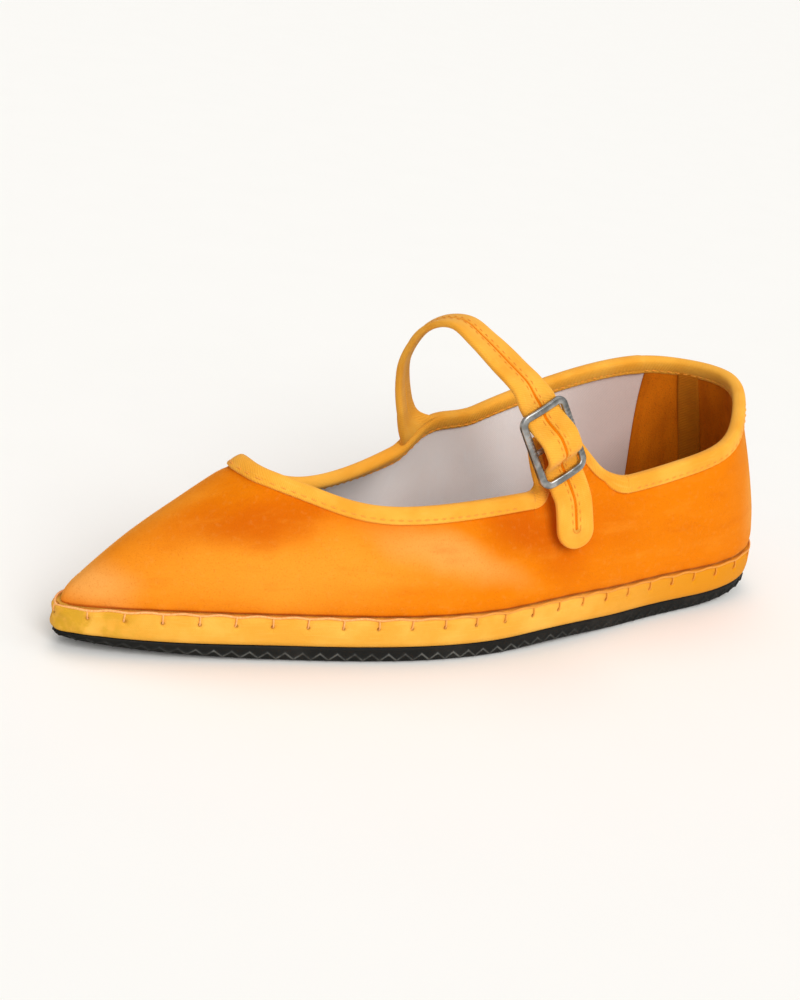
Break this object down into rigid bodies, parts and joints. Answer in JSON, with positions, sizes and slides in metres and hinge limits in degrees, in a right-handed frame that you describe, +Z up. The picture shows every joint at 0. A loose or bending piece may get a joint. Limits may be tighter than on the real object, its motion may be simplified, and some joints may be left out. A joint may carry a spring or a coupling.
{
  "type": "ballet flat with a buckled instep strap",
  "caption": "Pointed fabric ballet flat, left shoe, with a bound collar, a wrapped midsole band over a thin rubber sole, and a buckled strap across the instep.",
  "frame": {"origin": "on the floor, under the middle of the shoe's box", "axes": "+X to the toe, +Y to the outer side of the left foot, +Z up"},
  "size_m": [0.2546, 0.0778, 0.0966],
  "materials": {
    "sole_rubber": "matt black moulded rubber",
    "midsole_fabric": "yellow woven fabric, hand stitched",
    "insole_fabric": "matt black fabric",
    "velvet": "short orange velvet pile",
    "binding_tape": "yellow-orange woven tape",
    "buckle_metal": "satin silver metal",
    "lining_cotton": "pale cotton lining cloth"
  },
  "bodies": {
    "root": {"outsole": "sole_rubber", "midsole": "midsole_fabric", "insole": "insole_fabric", "upper": "velvet", "collar_binding": "binding_tape", "strap": "binding_tape", "buckle_tab": "velvet", "buckle": "buckle_metal", "snap": "buckle_metal"}
  },
  "joints": []
}
